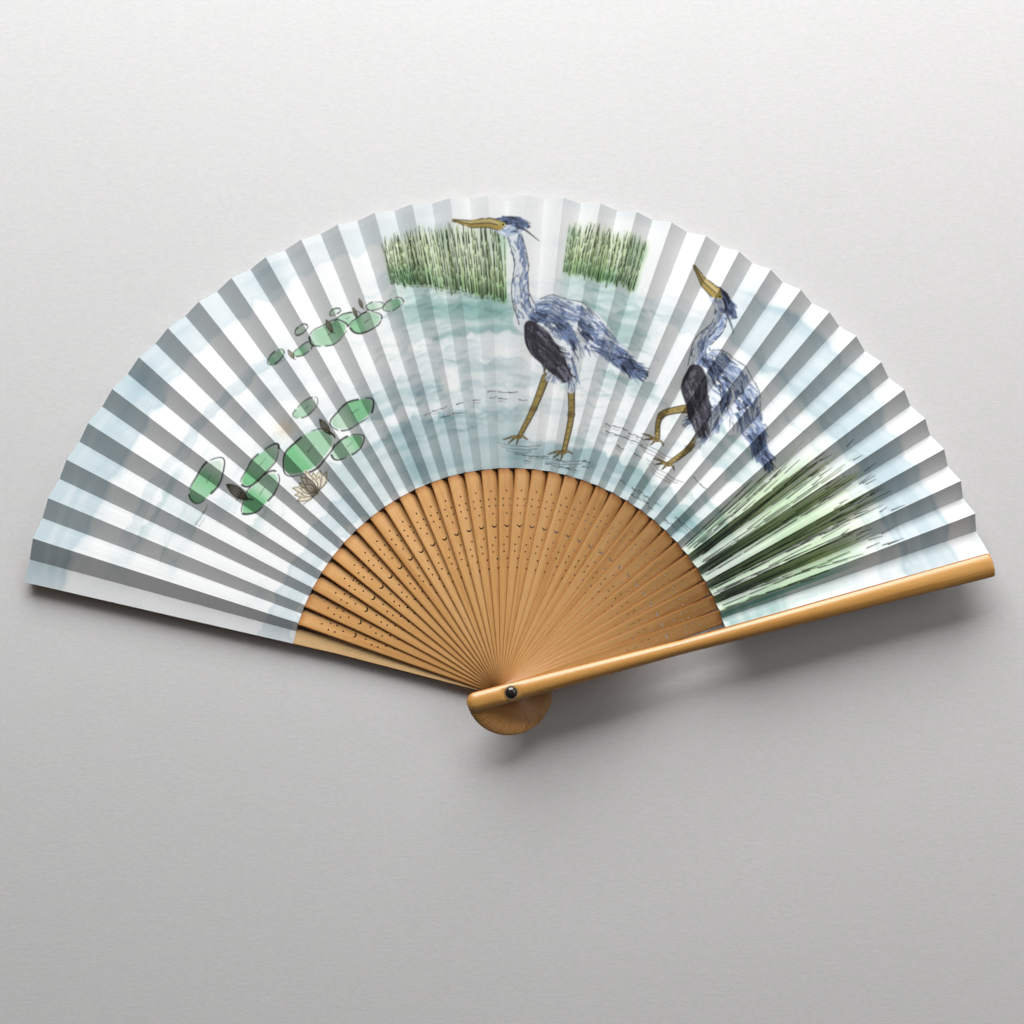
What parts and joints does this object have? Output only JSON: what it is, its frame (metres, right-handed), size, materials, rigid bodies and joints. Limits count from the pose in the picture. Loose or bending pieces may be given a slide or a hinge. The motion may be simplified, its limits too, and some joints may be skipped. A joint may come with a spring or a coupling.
{
  "type": "folding hand fan",
  "caption": "Folding fan with slim perforated bamboo ribs on one pivot between two guards and a short pleated paper leaf with a painted waterside scene.",
  "frame": {"origin": "on the pivot axis, level with the outer face of the rear guard, where the hand holds the fan", "axes": "+Z along the pivot axis from the rear guard to the front guard, the painted side up; +Y from the pivot to the middle of the open leaf; +X towards the front guard's side"},
  "size_m": [0.4015, 0.2245, 0.0252],
  "materials": {
    "guard_bamboo": "polished golden-brown bamboo with a soft wax gloss",
    "rib_bamboo": "smooth tan bamboo strip, fine lengthwise grain",
    "leaf_paper": "matt white two-ply paper with pale blue-green washes and ink painting",
    "pin_resin": "glossy near-black rivet head",
    "washer_bone": "pale bone-coloured washer, satin"
  },
  "bodies": {
    "rear_guard": {"rear_guard": "guard_bamboo", "pivot_pin": "pin_resin", "rear_washer": "washer_bone", "front_washer": "washer_bone", "leaf_rear_end": "leaf_paper"},
    "rib_01": {"rib_01": "rib_bamboo"},
    "rib_02": {"rib_02": "rib_bamboo", "leaf_section_01": "leaf_paper"},
    "rib_03": {"rib_03": "rib_bamboo"},
    "rib_04": {"rib_04": "rib_bamboo", "leaf_section_02": "leaf_paper"},
    "rib_05": {"rib_05": "rib_bamboo"},
    "rib_06": {"rib_06": "rib_bamboo", "leaf_section_03": "leaf_paper"},
    "rib_07": {"rib_07": "rib_bamboo"},
    "rib_08": {"rib_08": "rib_bamboo", "leaf_section_04": "leaf_paper"},
    "rib_09": {"rib_09": "rib_bamboo"},
    "rib_10": {"rib_10": "rib_bamboo", "leaf_section_05": "leaf_paper"},
    "rib_11": {"rib_11": "rib_bamboo"},
    "rib_12": {"rib_12": "rib_bamboo", "leaf_section_06": "leaf_paper"},
    "rib_13": {"rib_13": "rib_bamboo"},
    "rib_14": {"rib_14": "rib_bamboo", "leaf_section_07": "leaf_paper"},
    "rib_15": {"rib_15": "rib_bamboo"},
    "rib_16": {"rib_16": "rib_bamboo", "leaf_section_08": "leaf_paper"},
    "rib_17": {"rib_17": "rib_bamboo"},
    "rib_18": {"rib_18": "rib_bamboo", "leaf_section_09": "leaf_paper"},
    "rib_19": {"rib_19": "rib_bamboo"},
    "rib_20": {"rib_20": "rib_bamboo", "leaf_section_10": "leaf_paper"},
    "rib_21": {"rib_21": "rib_bamboo"},
    "rib_22": {"rib_22": "rib_bamboo", "leaf_section_11": "leaf_paper"},
    "rib_23": {"rib_23": "rib_bamboo"},
    "rib_24": {"rib_24": "rib_bamboo", "leaf_section_12": "leaf_paper"},
    "rib_25": {"rib_25": "rib_bamboo"},
    "rib_26": {"rib_26": "rib_bamboo", "leaf_section_13": "leaf_paper"},
    "rib_27": {"rib_27": "rib_bamboo"},
    "rib_28": {"rib_28": "rib_bamboo", "leaf_section_14": "leaf_paper"},
    "rib_29": {"rib_29": "rib_bamboo"},
    "rib_30": {"rib_30": "rib_bamboo", "leaf_section_15": "leaf_paper"},
    "rib_31": {"rib_31": "rib_bamboo"},
    "rib_32": {"rib_32": "rib_bamboo", "leaf_section_16": "leaf_paper"},
    "rib_33": {"rib_33": "rib_bamboo"},
    "front_guard": {"front_guard": "guard_bamboo", "leaf_front_end": "leaf_paper"}
  },
  "joints": [
    {"name": "front_guard_hinge", "type": "hinge", "parent": "rear_guard", "child": "front_guard", "pos_m": [0, 0, 0], "axis": [0, 0, 1], "range_deg": [0, 151.5], "deforming": ["leaf_front_end"]},
    {"name": "rib_01_hinge", "type": "hinge", "parent": "rear_guard", "child": "rib_01", "pos_m": [0, 0, 0], "axis": [0, 0, 1], "range_deg": [0, 5.21], "deforming": ["leaf_rear_end"]},
    {"name": "rib_02_hinge", "type": "hinge", "parent": "rear_guard", "child": "rib_02", "pos_m": [0, 0, 0], "axis": [0, 0, 1], "range_deg": [0, 10.13], "deforming": ["leaf_section_01"]},
    {"name": "rib_03_hinge", "type": "hinge", "parent": "rear_guard", "child": "rib_03", "pos_m": [0, 0, 0], "axis": [0, 0, 1], "range_deg": [0, 15.01]},
    {"name": "rib_04_hinge", "type": "hinge", "parent": "rear_guard", "child": "rib_04", "pos_m": [0, 0, 0], "axis": [0, 0, 1], "range_deg": [0, 19.84], "deforming": ["leaf_section_02"]},
    {"name": "rib_05_hinge", "type": "hinge", "parent": "rear_guard", "child": "rib_05", "pos_m": [0, 0, 0], "axis": [0, 0, 1], "range_deg": [0, 24.63]},
    {"name": "rib_06_hinge", "type": "hinge", "parent": "rear_guard", "child": "rib_06", "pos_m": [0, 0, 0], "axis": [0, 0, 1], "range_deg": [0, 29.38], "deforming": ["leaf_section_03"]},
    {"name": "rib_07_hinge", "type": "hinge", "parent": "rear_guard", "child": "rib_07", "pos_m": [0, 0, 0], "axis": [0, 0, 1], "range_deg": [0, 34.09]},
    {"name": "rib_08_hinge", "type": "hinge", "parent": "rear_guard", "child": "rib_08", "pos_m": [0, 0, 0], "axis": [0, 0, 1], "range_deg": [0, 38.76], "deforming": ["leaf_section_04"]},
    {"name": "rib_09_hinge", "type": "hinge", "parent": "rear_guard", "child": "rib_09", "pos_m": [0, 0, 0], "axis": [0, 0, 1], "range_deg": [0, 43.4]},
    {"name": "rib_10_hinge", "type": "hinge", "parent": "rear_guard", "child": "rib_10", "pos_m": [0, 0, 0], "axis": [0, 0, 1], "range_deg": [0, 48], "deforming": ["leaf_section_05"]},
    {"name": "rib_11_hinge", "type": "hinge", "parent": "rear_guard", "child": "rib_11", "pos_m": [0, 0, 0], "axis": [0, 0, 1], "range_deg": [0, 52.57]},
    {"name": "rib_12_hinge", "type": "hinge", "parent": "rear_guard", "child": "rib_12", "pos_m": [0, 0, 0], "axis": [0, 0, 1], "range_deg": [0, 57.1], "deforming": ["leaf_section_06"]},
    {"name": "rib_13_hinge", "type": "hinge", "parent": "rear_guard", "child": "rib_13", "pos_m": [0, 0, 0], "axis": [0, 0, 1], "range_deg": [0, 61.6]},
    {"name": "rib_14_hinge", "type": "hinge", "parent": "rear_guard", "child": "rib_14", "pos_m": [0, 0, 0], "axis": [0, 0, 1], "range_deg": [0, 66.07], "deforming": ["leaf_section_07"]},
    {"name": "rib_15_hinge", "type": "hinge", "parent": "rear_guard", "child": "rib_15", "pos_m": [0, 0, 0], "axis": [0, 0, 1], "range_deg": [0, 70.51]},
    {"name": "rib_16_hinge", "type": "hinge", "parent": "rear_guard", "child": "rib_16", "pos_m": [0, 0, 0], "axis": [0, 0, 1], "range_deg": [0, 74.92], "deforming": ["leaf_section_08"]},
    {"name": "rib_17_hinge", "type": "hinge", "parent": "rear_guard", "child": "rib_17", "pos_m": [0, 0, 0], "axis": [0, 0, 1], "range_deg": [0, 79.31]},
    {"name": "rib_18_hinge", "type": "hinge", "parent": "rear_guard", "child": "rib_18", "pos_m": [0, 0, 0], "axis": [0, 0, 1], "range_deg": [0, 83.67], "deforming": ["leaf_section_09"]},
    {"name": "rib_19_hinge", "type": "hinge", "parent": "rear_guard", "child": "rib_19", "pos_m": [0, 0, 0], "axis": [0, 0, 1], "range_deg": [0, 88]},
    {"name": "rib_20_hinge", "type": "hinge", "parent": "rear_guard", "child": "rib_20", "pos_m": [0, 0, 0], "axis": [0, 0, 1], "range_deg": [0, 92.31], "deforming": ["leaf_section_10"]},
    {"name": "rib_21_hinge", "type": "hinge", "parent": "rear_guard", "child": "rib_21", "pos_m": [0, 0, 0], "axis": [0, 0, 1], "range_deg": [0, 96.6]},
    {"name": "rib_22_hinge", "type": "hinge", "parent": "rear_guard", "child": "rib_22", "pos_m": [0, 0, 0], "axis": [0, 0, 1], "range_deg": [0, 100.87], "deforming": ["leaf_section_11"]},
    {"name": "rib_23_hinge", "type": "hinge", "parent": "rear_guard", "child": "rib_23", "pos_m": [0, 0, 0], "axis": [0, 0, 1], "range_deg": [0, 105.12]},
    {"name": "rib_24_hinge", "type": "hinge", "parent": "rear_guard", "child": "rib_24", "pos_m": [0, 0, 0], "axis": [0, 0, 1], "range_deg": [0, 109.35], "deforming": ["leaf_section_12"]},
    {"name": "rib_25_hinge", "type": "hinge", "parent": "rear_guard", "child": "rib_25", "pos_m": [0, 0, 0], "axis": [0, 0, 1], "range_deg": [0, 113.56]},
    {"name": "rib_26_hinge", "type": "hinge", "parent": "rear_guard", "child": "rib_26", "pos_m": [0, 0, 0], "axis": [0, 0, 1], "range_deg": [0, 117.75], "deforming": ["leaf_section_13"]},
    {"name": "rib_27_hinge", "type": "hinge", "parent": "rear_guard", "child": "rib_27", "pos_m": [0, 0, 0], "axis": [0, 0, 1], "range_deg": [0, 121.93]},
    {"name": "rib_28_hinge", "type": "hinge", "parent": "rear_guard", "child": "rib_28", "pos_m": [0, 0, 0], "axis": [0, 0, 1], "range_deg": [0, 126.1], "deforming": ["leaf_section_14"]},
    {"name": "rib_29_hinge", "type": "hinge", "parent": "rear_guard", "child": "rib_29", "pos_m": [0, 0, 0], "axis": [0, 0, 1], "range_deg": [0, 130.25]},
    {"name": "rib_30_hinge", "type": "hinge", "parent": "rear_guard", "child": "rib_30", "pos_m": [0, 0, 0], "axis": [0, 0, 1], "range_deg": [0, 134.39], "deforming": ["leaf_section_15"]},
    {"name": "rib_31_hinge", "type": "hinge", "parent": "rear_guard", "child": "rib_31", "pos_m": [0, 0, 0], "axis": [0, 0, 1], "range_deg": [0, 138.52]},
    {"name": "rib_32_hinge", "type": "hinge", "parent": "rear_guard", "child": "rib_32", "pos_m": [0, 0, 0], "axis": [0, 0, 1], "range_deg": [0, 142.64], "deforming": ["leaf_section_16"]},
    {"name": "rib_33_hinge", "type": "hinge", "parent": "rear_guard", "child": "rib_33", "pos_m": [0, 0, 0], "axis": [0, 0, 1], "range_deg": [0, 146.75]}
  ],
  "couplings": [
    {"joint": "rib_01_hinge", "follows": "front_guard_hinge", "ratio": 0.034329},
    {"joint": "rib_02_hinge", "follows": "front_guard_hinge", "ratio": 0.066799},
    {"joint": "rib_03_hinge", "follows": "front_guard_hinge", "ratio": 0.098978},
    {"joint": "rib_04_hinge", "follows": "front_guard_hinge", "ratio": 0.13088},
    {"joint": "rib_05_hinge", "follows": "front_guard_hinge", "ratio": 0.1625},
    {"joint": "rib_06_hinge", "follows": "front_guard_hinge", "ratio": 0.19385},
    {"joint": "rib_07_hinge", "follows": "front_guard_hinge", "ratio": 0.22495},
    {"joint": "rib_08_hinge", "follows": "front_guard_hinge", "ratio": 0.2558},
    {"joint": "rib_09_hinge", "follows": "front_guard_hinge", "ratio": 0.2864},
    {"joint": "rib_10_hinge", "follows": "front_guard_hinge", "ratio": 0.31677},
    {"joint": "rib_11_hinge", "follows": "front_guard_hinge", "ratio": 0.34691},
    {"joint": "rib_12_hinge", "follows": "front_guard_hinge", "ratio": 0.37683},
    {"joint": "rib_13_hinge", "follows": "front_guard_hinge", "ratio": 0.40654},
    {"joint": "rib_14_hinge", "follows": "front_guard_hinge", "ratio": 0.43605},
    {"joint": "rib_15_hinge", "follows": "front_guard_hinge", "ratio": 0.46536},
    {"joint": "rib_16_hinge", "follows": "front_guard_hinge", "ratio": 0.49449},
    {"joint": "rib_17_hinge", "follows": "front_guard_hinge", "ratio": 0.52343},
    {"joint": "rib_18_hinge", "follows": "front_guard_hinge", "ratio": 0.55221},
    {"joint": "rib_19_hinge", "follows": "front_guard_hinge", "ratio": 0.58082},
    {"joint": "rib_20_hinge", "follows": "front_guard_hinge", "ratio": 0.60927},
    {"joint": "rib_21_hinge", "follows": "front_guard_hinge", "ratio": 0.63758},
    {"joint": "rib_22_hinge", "follows": "front_guard_hinge", "ratio": 0.66574},
    {"joint": "rib_23_hinge", "follows": "front_guard_hinge", "ratio": 0.69378},
    {"joint": "rib_24_hinge", "follows": "front_guard_hinge", "ratio": 0.72169},
    {"joint": "rib_25_hinge", "follows": "front_guard_hinge", "ratio": 0.74948},
    {"joint": "rib_26_hinge", "follows": "front_guard_hinge", "ratio": 0.77717},
    {"joint": "rib_27_hinge", "follows": "front_guard_hinge", "ratio": 0.80475},
    {"joint": "rib_28_hinge", "follows": "front_guard_hinge", "ratio": 0.83225},
    {"joint": "rib_29_hinge", "follows": "front_guard_hinge", "ratio": 0.85965},
    {"joint": "rib_30_hinge", "follows": "front_guard_hinge", "ratio": 0.88699},
    {"joint": "rib_31_hinge", "follows": "front_guard_hinge", "ratio": 0.91425},
    {"joint": "rib_32_hinge", "follows": "front_guard_hinge", "ratio": 0.94145},
    {"joint": "rib_33_hinge", "follows": "front_guard_hinge", "ratio": 0.9686}
  ]
}
